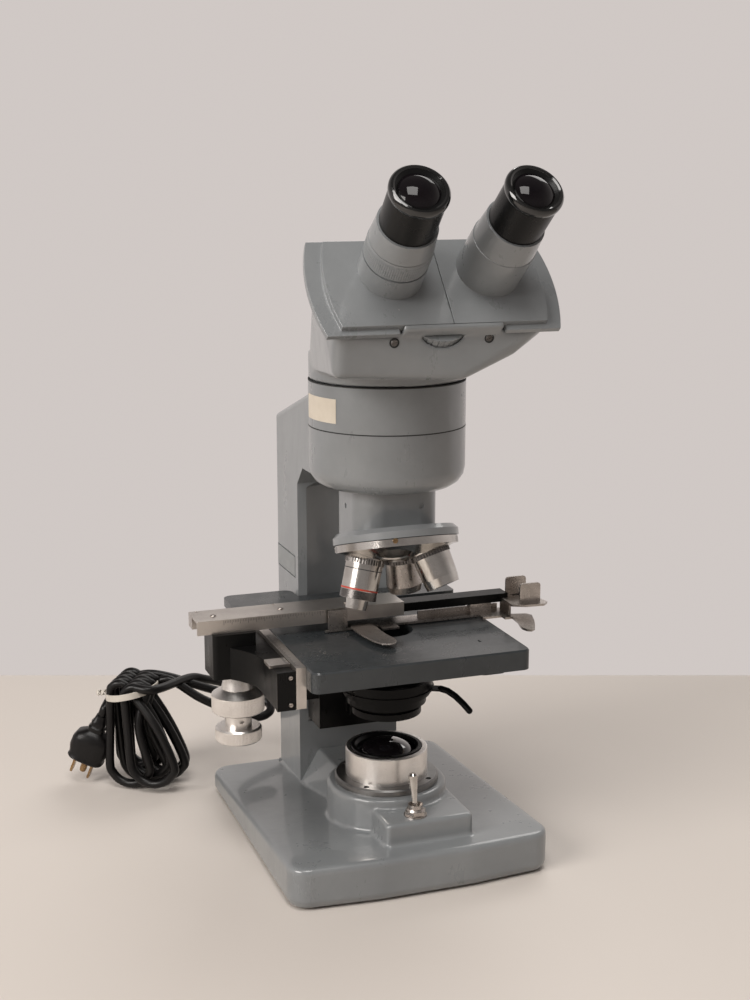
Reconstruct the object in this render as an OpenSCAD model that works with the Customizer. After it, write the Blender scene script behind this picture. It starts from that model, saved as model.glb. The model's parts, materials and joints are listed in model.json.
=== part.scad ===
// Binocular laboratory stand with built-in base illuminator. Millimetres, +Z up, user side at -Y.
// Every sub-part is its own module; choose one with "node".

/* [Shown part] */
// sub-part to build, or all

/* [Base and arm] */
// width of the base casting
base_w = 164; // [156:1:176]
// height of the base casting's front edge
base_h = 26; // [22:1:30]
// height of the base casting's back edge
base_back_h = 15; // [13:1:18]
// half width of the arm
arm_half = 34; // [32:0.5:36]
// radius of the round arm head
ring_r = 46.6; // [44:0.2:49]

/* [Stage] */
// thickness of the stage plate
stage_t = 12.2; // [9:0.2:15]
// front edge of the stage plate
stage_front = -66; // [-72:1:-60]
// left end of the cross rail
rail_left = -116; // [-120:1:-112]

/* [Head] */
// distance between the two eye axes at the eyecups
eye_gap = 62; // [60:0.5:64]
// lean of the eyetubes from vertical
lean = 49.5; // [46:0.5:53]
// radius of the black eyepiece sleeve
sleeve_r = 15; // [14:0.1:15.6]

/* [Cord] */
// mains lead thickness
lead_d = 6; // [5:0.5:6.5]

/* [Hidden] */
// where the lead leaves the arm
exit_x = -14;
exit_z = 32;
// middle line of the lead from the arm to its bundle
lead = [[-14, 118, 32], [-14, 130, 32], [-14, 142, 32], [-14, 154, 32], [-16, 166, 34], [-22, 177, 38],
  [-32, 184, 43], [-44, 184, 48], [-55, 179, 54], [-66, 173, 60], [-77, 167, 65], [-88, 162, 69],
  [-100, 158, 72]];
// place, turn and thickness of the bundle
hank_at = [-116, 150];
hank_turn = -30;
hank_t = 30;
// facets of a round face
$fn = 96;
// overlap that joins two solids of one piece
e = 0.01;
// from the optical axis to the middle of the footprint
off_x = 6;
off_y = 6.2;
// half width of the base
base_hw = base_w / 2;
// top and bottom of the stage plate
zs = 141.8;
zb = zs - stage_t;
// bottom of the round arm head and its two seams
z_bowl = 233;
z_seam2 = 269.3;
z_seam1 = 296.1;
// lean of the turret, its apex height and the distance from there to a shoulder
ta = 16.5;
apex = 255.3;
shoulder = 67.3;
// turn of the empty turret place
turn0 = 26;
// front, back, top, bottom and right end of the cross rail
rail_f = 7;
rail_b = 30;
rail_top = 156;
rail_bot = 147.5;
rail_right = 14;
// front and back of the arm, and its sloping top edge
arm_f = 73;
arm_b = 124;
arm_top = 283;
arm_top_y = 50;
arm_drop = 0.319;
// axis of the stage drive knobs
knob_x = -90;
knob_y = 16;
// axis of the focusing knobs
focus_y = 99;
focus_z = 120;
// place of the toggle switch
sx = 1.3;
sy = -47;
// floor of the arm seat
foot_z = 13;
// middle of the head front face
plate_y = -78;
plate_z = 361;
// spread of each eyetube and the length to its eyecup
splay = 2.7;
tube_l = 70;
// eye spacing wheel, measured on the head front face
wheel_u = -4.5;
wheel_v = -21;
// half distance between the feet of the eyetubes
foot = eye_gap / 2 - tube_l * sin(splay);

// ---- helpers ----
module at() {
  translate([off_x, off_y, 0]) children();
}
// rounded rectangle plate with exact corner arcs
module slab(x0, x1, y0, y1, r, h) {
  linear_extrude(h) {
    translate([x0 + r, y0]) square([x1 - x0 - 2 * r, y1 - y0]);
    translate([x0, y0 + r]) square([x1 - x0, y1 - y0 - 2 * r]);
    for (x = [x0 + r, x1 - r]) for (y = [y0 + r, y1 - r]) translate([x, y]) circle(r);
  }
}
module tube(ro, ri, h) {
  difference() {
    cylinder(r = ro, h = h);
    translate([0, 0, -1]) cylinder(r = ri, h = h + 2);
  }
}
// extrude a profile drawn in the YZ plane along X, centred
module across(w) {
  rotate([90, 0, 90]) translate([0, 0, -w / 2]) linear_extrude(w) children();
}
module knurl(r, h, n, d) {
  difference() {
    cylinder(r = r, h = h);
    for (i = [0 : n - 1])
      rotate(i * 360 / n) translate([r + 0.1, 0, -1]) cylinder(r = d, h = h + 2, $fn = 12);
  }
}
// a post with a soft top edge, used at the corners of cast shapes
module pill(x, y, z0, z1, r, q) {
  translate([x, y, 0]) rotate_extrude($fn = 48) polygon([[0, z0], [r - 2, z0], [r, z0 + 4], [r, z1 - q],
    [r - 0.13 * q, z1 - 0.5 * q], [r - 0.5 * q, z1 - 0.13 * q], [r - q, z1], [0, z1]]);
}

// ---- base ----
// trapezoid rib that the arm straddles
module spine() {
  hull() {
    translate([-arm_half, 70, foot_z]) cube([2 * arm_half, 48, 5]);
    translate([-25, 20, foot_z]) cube([50, 60, 5]);
    translate([-21, 70, 38]) cube([42, 48, 2]);
    translate([-18.5, 20, 38]) cube([37, 60, 2]);
  }
}
module base_casting() color([0.42, 0.48, 0.5]) at() difference() {
  union() {
    difference() {
      hull() {
        for (s = [-1, 1]) {
          pill(s * (base_hw - 13), -56, 1.5, base_h, 13, 3);
          pill(s * 28, -59.5, 1.5, base_h + 0.4, 13, 3);
          pill(s * (base_hw - 13), 115, 1.5, base_back_h, 13, 3);
        }
      }
      // seat of the arm
      translate([-arm_half, arm_f, foot_z]) cube([2 * arm_half, arm_b - arm_f, 20]);
    }
    spine();
    // raised switch island
    hull() for (x = [-17.5, 32]) for (y = [-54, -10]) pill(x, y, 12, 40, 3, 2);
    translate([0, 0, 12]) cylinder(r = 37, h = 32);
    translate([0, 0, 44 - e]) cylinder(r1 = 37, r2 = 35.6, h = 2);
  }
  // underside hollow and the recess of the bottom cover
  slab(-62, 62, -46, 104, 10, 9);
  slab(-70, 70, -60, 118, 8, 3);
  // transformer, lamp, light well and switch
  translate([-17, 26, 5]) cube([34, 72, 29]);
  cylinder(r = 23, h = 50);
  translate([-14, 10, 5]) cube([28, 30, 27]);
  translate([sx, sy, 5]) cylinder(r = 9, h = 31);
  translate([sx, sy, 20]) cylinder(r = 4.5, h = 30);
  for (x = [-74, 74]) for (y = [-52, 109]) translate([x, y, 0.5]) cylinder(r = 5, h = 5);
  for (x = [-60, 60]) for (y = [-53, 111]) translate([x, y, 2]) cylinder(r = 1.5, h = 7);
}
module bottom_cover() color([0.3, 0.31, 0.32]) at() difference() {
  translate([0, 0, 1.5]) slab(-69.7, 69.7, -59.7, 117.7, 8, 1.5);
  for (x = [-60, 60]) for (y = [-53, 111]) translate([x, y, 0]) cylinder(r = 1.7, h = 7);
  for (x = [-74, 74]) for (y = [-52, 109]) translate([x, y, 0]) cylinder(r = 5.3, h = 7);
}
module rubber_feet() color([0.07, 0.07, 0.07]) at() for (x = [-74, 74]) for (y = [-52, 109]) {
  translate([x, y, 0]) cylinder(r = 5, h = 5.5);
}
module cover_screws() color([0.7, 0.7, 0.7]) at() for (x = [-60, 60]) for (y = [-53, 111]) {
  translate([x, y, 0.7]) cylinder(r = 2.6, h = 0.8);
  translate([x, y, 1.4]) cylinder(r = 1.5, h = 7);
}
module transformer() color([0.35, 0.22, 0.12]) at() {
  translate([-15, 62, 3]) cube([30, 28, 6]);
  translate([-15, 62, 23]) cube([30, 28, 6]);
  translate([-15, 62, 9 - e]) cube([6, 28, 14.02]);
  translate([9, 62, 9 - e]) cube([6, 28, 14.02]);
  translate([-9 - e, 58, 9 - e]) cube([18.02, 34, 14.02]);
}
module lamp_socket() color([0.75, 0.73, 0.68]) at() {
  translate([0, 39, 18]) rotate([-90, 0, 0]) cylinder(r = 8, h = 17);
  translate([-6, 42, 3]) cube([12, 12, 10]);
}
module lamp_bulb() color([0.95, 0.93, 0.85, 0.5]) at() {
  translate([0, 39, 18]) rotate([90, 0, 0]) cylinder(r = 5, h = 8);
  translate([0, 28, 18]) sphere(r = 7.5);
}
module lamp_mirror() color([0.85, 0.86, 0.88]) at() {
  translate([0, 0, 18]) rotate([45, 0, 0]) translate([-12, -15, -1]) cube([24, 30, 2]);
  translate([-10, -15, 3]) cube([20, 5, 4.6]);
}

// ---- field lens ----
module field_flange() color([0.75, 0.75, 0.75]) at() translate([0, 0, 46]) difference() {
  union() {
    cylinder(r = 32.2, h = 3);
    translate([0, 0, 3 - e]) cylinder(r1 = 32.2, r2 = 31.2, h = 1);
  }
  translate([0, 0, -1]) cylinder(r = 22.4, h = 7);
  for (a = [45 : 90 : 315]) rotate(a) translate([28.6, 0, 2.6]) cylinder(r = 1.7, h = 3);
}
module field_collar() color([0.8, 0.8, 0.8]) at() translate([0, 0, 50]) {
  difference() {
    union() {
      cylinder(r = 25.4, h = 16.5);
      translate([0, 0, 16.5 - e]) cylinder(r1 = 25.4, r2 = 24.8, h = 0.6);
    }
    translate([0, 0, -1]) cylinder(r = 22.4, h = 20);
  }
}
module field_retainer() color([0.05, 0.05, 0.05]) at() translate([0, 0, 61]) difference() {
  union() {
    cylinder(r = 22.4, h = 5.5);
    translate([0, 0, 5.5 - e]) cylinder(r1 = 22.4, r2 = 21.6, h = 1.2);
  }
  translate([0, 0, -1]) cylinder(r = 18.4, h = 6);
  translate([0, 0, 4.9]) cylinder(r1 = 18.4, r2 = 19.9, h = 2);
}
module field_lens() color([0.6, 0.65, 0.7, 0.5]) at() translate([0, 0, 61]) {
  cylinder(r = 18.4, h = 1.5);
  translate([0, 0, 1.5 - e]) intersection() {
    translate([0, 0, -27.8]) sphere(r = 33);
    cylinder(r = 17.9, h = 10);
  }
}

// ---- switch ----
module switch_bushing() color([0.72, 0.7, 0.66]) at() translate([sx, sy, 0]) difference() {
  union() {
    translate([0, 0, 22]) cylinder(r = 7, h = 14);
    translate([0, 0, 36 - e]) cylinder(r = 4.5, h = 11);
    translate([0, 0, 40]) cylinder(r = 6.9, h = 0.8);
    translate([0, 0, 40.8 - e]) cylinder(r = 6.6, h = 2.6, $fn = 6);
    translate([0, 0, 43.4 - e]) cylinder(r1 = 5.6, r2 = 4.9, h = 1.2, $fn = 48);
  }
  translate([0, 0, 41]) cylinder(r1 = 1.8, r2 = 4.4, h = 7);
  translate([0, 0, 34]) sphere(r = 4.1);
  translate([0, 0, 34]) cylinder(r = 3, h = 10);
}
module switch_lever() color([0.8, 0.8, 0.8]) at() translate([sx, sy, 41]) rotate([-12, 0, 0]) {
  sphere(r = 2.6);
  cylinder(r1 = 1.4, r2 = 2.1, h = 16);
  translate([0, 0, 14.5]) cylinder(r1 = 2.3, r2 = 2.9, h = 8);
  translate([0, 0, 22.5 - e]) cylinder(r1 = 2.9, r2 = 1.9, h = 1.5);
}

// ---- arm ----
// side outline of the arm between two heights at its top edge
function arm_line(z, y) = z - arm_drop * (y - arm_top_y);
module arm_column() color([0.42, 0.48, 0.5]) at() difference() {
  union() {
    across(2 * arm_half) polygon([[arm_f, foot_z], [arm_b, foot_z], [arm_b, arm_line(z_seam2, arm_b)],
      [arm_top_y, z_seam2], [10, z_seam2], [10, z_bowl], [61, z_bowl], [arm_f, 221]]);
    translate([0, 0, z_bowl]) rotate_extrude() polygon([[0, 0], [ring_r - 12, 0], [ring_r - 7.4, 0.9],
      [ring_r - 3.5, 3.5], [ring_r - 0.9, 7.4], [ring_r, 12], [ring_r, z_seam2 - z_bowl], [0,
        z_seam2 - z_bowl]]);
  }
  // rounded back corners
  for (s = [-1, 1]) translate([s * arm_half, arm_b, foot_z + 3]) difference() {
    translate([-6, -6, 0]) cube([12, 12, 300]);
    translate([-s * 6, -6, -1]) cylinder(r = 6, h = 310);
  }
  // hollow front face
  translate([0, arm_f - 45, 60]) cylinder(r = 53, h = 158);
  translate([0, arm_f - 45, 218 - e]) cylinder(r1 = 53, r2 = 45, h = 8);
  // recess for the side label
  translate([-arm_half - 1, 79, 157]) cube([1.8, 41, 15]);
  // focusing bore, nosepiece pocket and light path
  translate([0, 0, 200]) cylinder(r = 24.05, h = 67.5);
  translate([0, 0, 200]) cylinder(r = 14, h = 100);
  translate([0, 0, 200]) slab(-26.6, 26.6, -26.6, 26.6, 16, 45.5);
  // bore of the focusing shafts
  translate([-60, focus_y, focus_z]) rotate([0, 90, 0]) cylinder(r = 6.05, h = 120);
  // socket of the mains lead and the seat on the rib
  translate([exit_x, arm_b - 6, exit_z]) rotate([-90, 0, 0]) cylinder(r = 4.6, h = 20);
  spine();
}
module arm_cover() color([0.42, 0.48, 0.5]) at() difference() {
  union() {
    translate([0, 0, z_seam2]) cylinder(r = ring_r, h = z_seam1 - z_seam2);
    across(2 * arm_half) polygon([[10, z_seam2], [arm_top_y, z_seam2], [arm_b, arm_line(z_seam2, arm_b)],
      [arm_b, arm_line(arm_top, arm_b)], [arm_top_y, arm_top], [10, arm_top + 10]]);
  }
  for (s = [-1, 1]) {
    // rounded back corners and soft top edges
    translate([s * arm_half, arm_b, 200]) difference() {
      translate([-6, -6, 0]) cube([12, 12, 100]);
      translate([-s * 6, -6, -1]) cylinder(r = 6, h = 110);
    }
    translate([s * arm_half, arm_top_y, arm_top]) rotate([-atan(arm_drop), 0, 0]) translate([0, -60, 0])
      difference() {
        translate([-5, 14, -5]) cube([10, 160, 10]);
        translate([-s * 5, -10, -5]) rotate([-90, 0, 0]) cylinder(r = 5, h = 200);
      }
  }
  translate([0, 0, 250]) cylinder(r = 14, h = 60);
  translate([0, 0, 284]) cylinder(r = 24.05, h = 20);
}
module ring_label() color([0.85, 0.82, 0.74]) at() translate([0, 0, 274.6]) intersection() {
  difference() {
    cylinder(r = ring_r + 0.25, h = 14);
    translate([0, 0, -1]) cylinder(r = ring_r, h = 16);
  }
  linear_extrude(14)
    polygon([[0, 0], [80 * sin(-58.5), -80 * cos(58.5)], [-90, -50], [80 * sin(-98), -80 * cos(98)]]);
}
module arm_label() color([0.6, 0.64, 0.66]) at() translate([-arm_half - 0.1, 80, 158]) cube([0.9, 39, 13]);

// ---- focus ----
module coarse_knobs() color([0.06, 0.06, 0.06]) at()
translate([0, focus_y, focus_z]) rotate([0, 90, 0]) difference() {
  union() {
    translate([0, 0, -46]) cylinder(r = 6, h = 92);
    for (s = [0, 1]) mirror([0, 0, s]) {
      translate([0, 0, arm_half + 0.5]) cylinder(r = 8, h = 3);
      translate([0, 0, arm_half + 3]) knurl(18, 10, 28, 0.9);
      translate([0, 0, arm_half + 13 - e]) cylinder(r1 = 17, r2 = 15, h = 1.2);
    }
  }
  translate([0, 0, -60]) cylinder(r = 3.05, h = 120);
}
module fine_knobs() color([0.75, 0.75, 0.75]) at() translate([0, focus_y, focus_z]) rotate([0, 90, 0]) {
  translate([0, 0, -60]) cylinder(r = 3, h = 120);
  for (s = [0, 1]) mirror([0, 0, s]) {
    translate([0, 0, arm_half + 14.8]) knurl(12, 8, 24, 0.7);
    translate([0, 0, arm_half + 22.8 - e]) cylinder(r1 = 11.4, r2 = 10.4, h = 1.2);
  }
}
module coarse_carrier() color([0.7, 0.7, 0.7]) at() translate([0, 0, 244]) tube(24, 20.05, 16);

// ---- nosepiece ----
module turret_frame() {
  translate([0, 0, apex]) rotate([-ta, 0, 0]) children();
}
module station(a, l) {
  turret_frame() rotate([0, 0, -a]) rotate([-ta, 0, 0]) translate([0, 0, -l]) children();
}
module nosepiece_block() color([0.42, 0.48, 0.5]) at() difference() {
  union() {
    intersection() {
      translate([0, 0, 188]) slab(-26, 26, -26, 26, 15.5, 49);
      turret_frame() translate([0, 0, -56.1]) cylinder(r = 60, h = 60);
    }
    turret_frame() translate([0, 0, -56.1]) cylinder(r = 37.4, h = 4.1);
    turret_frame() translate([0, 0, -52 - e]) cylinder(r1 = 37.4, r2 = 34.7, h = 2.6);
    translate([0, 0, 236]) cylinder(r = 20, h = 23);
  }
  translate([0, 0, 180]) cylinder(r = 10, h = 90);
  turret_frame() translate([0, 0, -57]) cylinder(r = 4, h = 9);
  translate([12, -25, 223.5]) rotate([90, 0, 0]) cylinder(r = 1.6, h = 3);
  translate([-25, 0, 221]) rotate([0, -90, 0]) cylinder(r = 1.6, h = 3);
}
module turret_pivot() color([0.8, 0.8, 0.8]) at() turret_frame() {
  translate([0, 0, -66]) cylinder(r = 4, h = 17.5);
  translate([0, 0, -69]) cylinder(r = 6, h = 3);
}
module turret_body() color([0.78, 0.77, 0.75]) at() difference() {
  union() {
    turret_frame() {
      translate([0, 0, -60.8]) cylinder(r = 36.4, h = 4.3);
      translate([0, 0, -65.6]) cylinder(r1 = 24, r2 = 34.5, h = 4.8 + e);
    }
    for (a = [turn0 : 90 : 359]) station(a, shoulder) cylinder(r = 13.3, h = 4);
  }
  for (a = [turn0 : 90 : 359]) station(a, shoulder) {
    translate([0, 0, -1]) cylinder(r = 10.16, h = 24);
    translate([0, 0, -6]) cylinder(r = 12.2, h = 6);
    translate([0, 0, 5]) cylinder(r = 11.4, h = 18);
    translate([0, 0, -0.01]) cylinder(r1 = 10.9, r2 = 10.1, h = 0.8);
  }
  turret_frame() translate([0, 0, -80]) cylinder(r = 4.05, h = 40);
  turret_frame() translate([0, 0, -76]) cylinder(r = 6.4, h = 10.3);
}
module thread_end() {
  cylinder(r = 10.1, h = 4.5);
  translate([0, 0, -e]) cylinder(r = 8, h = 5);
}
module objective_high() color([0.8, 0.8, 0.8]) at() station(turn0 + 90, shoulder) difference() {
  union() {
    thread_end();
    translate([0, 0, -4]) cylinder(r = 11.8, h = 4);
    translate([0, 0, -18.6]) cylinder(r1 = 11, r2 = 11.2, h = 14.6 + e);
    translate([0, 0, -19.6]) cylinder(r = 10.6, h = 1 + e);
    translate([0, 0, -25]) cylinder(r1 = 10.4, r2 = 11, h = 5.4 + e);
    translate([0, 0, -31]) cylinder(r1 = 6.4, r2 = 6.8, h = 6 + e);
  }
  translate([0, 0, -32]) cylinder(r = 2.6, h = 40);
  translate([0, 0, -32]) cylinder(r1 = 4.6, r2 = 2.6, h = 2);
}
module objective_band() color([0.75, 0.12, 0.08]) at() station(turn0 + 90, shoulder) {
  translate([0, 0, -19.6]) tube(11.15, 10.6, 1);
}
module objective_mid() color([0.8, 0.8, 0.8]) at() station(turn0 + 180, shoulder) difference() {
  union() {
    thread_end();
    translate([0, 0, -3]) cylinder(r = 10.4, h = 3 + e);
    translate([0, 0, -18]) cylinder(r1 = 11, r2 = 9.8, h = 15 + e);
    translate([0, 0, -18.6]) cylinder(r = 10.5, h = 0.7);
    translate([0, 0, -22.5]) cylinder(r1 = 9.6, r2 = 11, h = 4);
  }
  translate([0, 0, -24]) cylinder(r = 4.5, h = 30);
  translate([0, 0, -24]) cylinder(r1 = 7.5, r2 = 4.5, h = 3);
}
module objective_low() color([0.78, 0.76, 0.73]) at() station(turn0 + 270, shoulder) difference() {
  union() {
    thread_end();
    translate([0, 0, -16.5]) cylinder(r1 = 10.8, r2 = 11.6, h = 16.5 + e);
    translate([0, 0, -17]) cylinder(r = 10.4, h = 0.6);
    translate([0, 0, -22]) cylinder(r1 = 10, r2 = 10.8, h = 5.1);
  }
  translate([0, 0, -24]) cylinder(r = 5.5, h = 30);
  translate([0, 0, -24]) cylinder(r1 = 9, r2 = 5.5, h = 3.5);
}
module objective_lenses() color([0.5, 0.6, 0.7, 0.5]) at() {
  station(turn0 + 90, shoulder) translate([0, 0, -29.5]) cylinder(r = 2.6, h = 2);
  station(turn0 + 180, shoulder) translate([0, 0, -20.8]) cylinder(r = 4.5, h = 2);
  station(turn0 + 270, shoulder) translate([0, 0, -20.2]) cylinder(r = 5.5, h = 2);
}

// ---- stage ----
module stage_bracket() color([0.05, 0.05, 0.05]) at() difference() {
  union() {
    translate([-30, 42, 66]) cube([52, 24, zb - 66]);
    intersection() {
      translate([-28, 60, 66]) cube([50, 30, zb - 66]);
      translate([0, arm_f - 45, 60]) cylinder(r = 53, h = 100);
    }
    translate([-44, 44, 86]) cube([14.2, 18, 32]);
    translate([-12, 34, 76]) cube([24, 8.2, zb - 76]);
  }
  translate([-60, 54, 107]) rotate([0, 90, 0]) cylinder(r = 4.05, h = 100);
}
module stage_plate() color([0.2, 0.23, 0.24]) at() difference() {
  union() {
    translate([0, 0, zb]) slab(-67.6, 66.4, stage_front, 72, 5, stage_t - 1);
    hull() for (x = [-62.6, 61.4]) for (y = [stage_front + 5, 67]) {
      translate([x, y, zs - 3]) cylinder(r = 5, h = 2, $fn = 48);
      translate([x, y, zs - e]) cylinder(r = 4.2, h = e, $fn = 48);
    }
    // raised rear plate with a wing on the left
    translate([0, 0, zs - 1]) slab(-67.6, 66.4, 51, 72, 3, 6.2);
    translate([0, 0, zs]) slab(-81, -30, 51, 72, 3, 5.2);
    translate([0, 0, zs]) slab(-81, -arm_half - 1, 58, 88, 6, 5.2);
  }
  translate([0, 0, zb - 1]) cylinder(r = 16, h = 30);
  translate([43.9, -41.6, zs - 1]) cylinder(r = 1, h = 3);
  translate([43.4, -41.6, zs - 1]) cube([1, 3, 3]);
}
module stage_pad() color([0.05, 0.05, 0.05]) at() translate([0, 0, zb - 4]) slab(38, 55, -57, -44, 4, 4);
module y_guide() color([0.75, 0.74, 0.72]) at() difference() {
  translate([-73.6, -53, 117.4]) cube([6, 140, zs - 117.4]);
  for (y = [-40, 0, 40]) translate([-75, y, 128]) rotate([0, 90, 0]) cylinder(r = 1.6, h = 3);
}
module y_block() color([0.06, 0.06, 0.06]) at() difference() {
  union() {
    translate([-84.5, -50, 117.4]) cube([10.6, 84, 22]);
    // drive housing under the rail and its curved web
    translate([0, 0, 120]) slab(knob_x - 17.5, -81, knob_y - 13, knob_y + 13, 3, rail_bot - 120);
    translate([0, 0, 120]) difference() {
      translate([-97.5, -30, 0]) cube([14, 34, 19.4]);
      translate([-132.1, -30.1, -1]) cylinder(r = 47.8, h = 30);
    }
  }
  translate([knob_x, knob_y, 110]) cylinder(r = 4.05, h = 37);
  translate([knob_x, knob_y, 110]) cylinder(r = 8.9, h = 9.9);
}
module y_end_cap() color([0.04, 0.04, 0.04]) at() difference() {
  translate([-84.7, -53, 117.2]) cube([10.8, 3, 22.8]);
  for (z = [120.5, 136.5]) translate([-76.8, -52, z]) rotate([90, 0, 0]) cylinder(r = 1.5, h = 3);
}
module y_vernier() color([0.75, 0.74, 0.72]) at() {
  translate([-86, -42, 139.4]) cube([12.1, 12, 2]);
}
module x_rail() color([0.78, 0.76, 0.73]) at() difference() {
  translate([rail_left, rail_f, rail_bot]) cube([rail_right - rail_left, rail_b - rail_f,
    rail_top - rail_bot]);
  // channel of the sliding bar, open below and at both ends
  translate([rail_left - 1, rail_f + 1.4, rail_bot - 1]) cube([200, 12.7, rail_top - rail_bot - 0.2]);
  for (x = [-111.4, -63.2]) translate([x, rail_b - 1.8, rail_top - 1.2]) cylinder(r = 1, h = 3);
}
module y_knob() color([0.8, 0.79, 0.77]) at() translate([knob_x, knob_y, 0]) difference() {
  union() {
    translate([0, 0, 110.4]) cylinder(r1 = 10, r2 = 8, h = 9.3);
    translate([0, 0, 106.5]) cylinder(r1 = 15.6, r2 = 9.6, h = 4);
    translate([0, 0, 96.3]) cylinder(r = 15.9, h = 10.2 + e);
    translate([0, 0, 95.3]) cylinder(r1 = 14.6, r2 = 15.7, h = 1 + e);
    translate([0, 0, 119]) cylinder(r = 4, h = 20);
  }
  translate([0, 0, 90]) cylinder(r = 2.55, h = 60);
}
module x_knob() color([0.8, 0.79, 0.77]) at() translate([knob_x, knob_y, 0]) {
  translate([0, 0, 80]) cylinder(r = 2.5, h = 67);
  difference() {
    translate([0, 0, 86 - e]) cylinder(r = 8.1, h = 9);
    translate([0, -6, 90.5]) rotate([90, 0, 0]) cylinder(r = 1.3, h = 4);
  }
  translate([0, 0, 78]) cylinder(r = 14.1, h = 7 + e);
  translate([0, 0, 85]) cylinder(r1 = 14, r2 = 13, h = 1);
  translate([0, 0, 77]) cylinder(r1 = 13, r2 = 14, h = 1 + e);
}
module x_bar() color([0.03, 0.03, 0.03]) at() difference() {
  translate([-112, rail_f + 1.7, rail_bot + 1.6]) cube([197, 12.1, 5.4]);
  translate([60, rail_f + 4, rail_bot]) cylinder(r = 1, h = 3);
}
module slide_holder() color([0.72, 0.7, 0.67]) at() {
  // plate just above the stage with a raised back strip
  translate([-23, 3.5, 142.5]) cube([86, 13.5, 1.4]);
  translate([-4, -4, 142.5]) cube([11, 8, 1.4]);
  translate([62.9, -3, 142.5]) cube([13, 20, 1.4]);
  translate([26, 14, 143.8]) cube([54, 1.4, 3]);
  // hanger under the bar
  translate([60, rail_f + 3, 143.8]) cube([14, 6, rail_bot + 1.6 - 143.8]);
  // right arm with the fixed finger
  translate([75.8, -8, 142.5]) cube([6.2, 22, 1.4]);
  translate([0, 0, 142.5]) linear_extrude(1.4) polygon([[75.8, -2], [80.5, -8], [79.6, -18], [77.4, -26],
    [76.8, -31], [78, -35], [80.6, -36.4], [83.6, -34], [86.6, -28], [90, -20], [94, -8], [92, -4],
      [84, -2], [82, -1]]);
  translate([80, -4, 142.5]) cube([1.4, 14, 9.3]);
  translate([0, 0, 150.5]) linear_extrude(1.4) polygon([[80, 14], [80, -8], [88, -12], [100, -13], [104, -9],
    [103, -2], [100, 8], [99, 14]]);
  // post in front of the rail
  translate([-38, 3.6, 142.5]) cube([16, 2.2, 1.4]);
  translate([-36, 3.6, 143.8]) cube([12, 1.4, 12]);
  // two upright thumb tabs
  for (p = [[85, 13.4], [86.5, -4.6]]) translate([p[0], p[1], 151.8]) rotate([90, 0,
    0]) linear_extrude(1.4) {
    square([14, 10]);
    translate([2, 0]) square([10, 12]);
    for (x = [2, 12]) translate([x, 10]) circle(2);
  }
}
module spring_finger() color([0.76, 0.74, 0.71]) at() translate([0, 0, 144.2]) {
  linear_extrude(1.2) polygon([[-22.4, 2.6], [-17, 5], [-9, 3.4], [-7.6, -4], [-7.8, -12], [-7.2, -20],
    [-5.6, -28],
    [-5.8, -33], [-7.6, -37], [-11.4, -39.2], [-16, -37], [-19.4, -29], [-21.6, -18], [-22.6, -6]]);
}

// ---- condenser ----
module condenser_carrier() color([0.05, 0.05, 0.05]) at() difference() {
  union() {
    translate([0, 0, 97]) cylinder(r = 24.5, h = 5);
    translate([-11, 14, 97]) cube([22, 19.6, 5]);
    translate([-11, 30, 78]) cube([22, 3.6, 40]);
  }
  translate([0, 0, 90]) cylinder(r = 19.55, h = 20);
}
module condenser_rings() color([0.04, 0.04, 0.04]) at() difference() {
  union() {
    translate([0, 0, 90]) cylinder(r = 21.5, h = 4);
    translate([0, 0, 94 - e]) cylinder(r = 19.5, h = 10);
    translate([0, 0, 102.3]) cylinder(r = 27, h = 3);
    translate([0, 0, 105.3 - e]) cylinder(r = 25.5, h = 1.4);
    translate([0, 0, 106.7]) cylinder(r = 28.4, h = 5.6);
    translate([0, 0, 112.3 - e]) cylinder(r1 = 25, r2 = 14, h = 10);
    translate([0, 0, 122.2]) cylinder(r = 13.5, h = 9);
  }
  translate([0, 0, 80]) cylinder(r = 10, h = 60);
  translate([0, 0, 127]) cylinder(r = 11.5, h = 10);
  translate([0, 0, 98.2]) tube(19.51, 18.6, 0.1);
}
module condenser_lens() color([0.6, 0.66, 0.7, 0.5]) at() {
  translate([0, 0, 127]) cylinder(r = 11.5, h = 2.4);
  translate([0, 0, 91]) cylinder(r = 10, h = 3);
}
module iris_lever() color([0.04, 0.04, 0.04]) at() {
  translate([0, 0, 105.4]) {
    tube(29.2, 25.8, 1.1);
    rotate(-31) translate([28, -4, 0]) cube([6, 8, 1.1]);
  }
  pts = [[29, -17.5, 106], [32.5, -20, 105], [36, -24, 102.5], [39, -30, 99], [41, -34, 96]];
  for (i = [0 : 3]) hull() for (p = [pts[i], pts[i + 1]]) translate(p) sphere(r = 2, $fn = 16);
}
module condenser_knobs() color([0.06, 0.06, 0.06]) at() translate([0, 54, 107]) rotate([0, 90, 0]) {
  translate([0, 0, -44]) cylinder(r = 4, h = 66);
  translate([0, 0, -56]) knurl(9.5, 11.6, 20, 0.7);
  translate([0, 0, -45]) cylinder(r = 6, h = 0.7);
}

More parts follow.
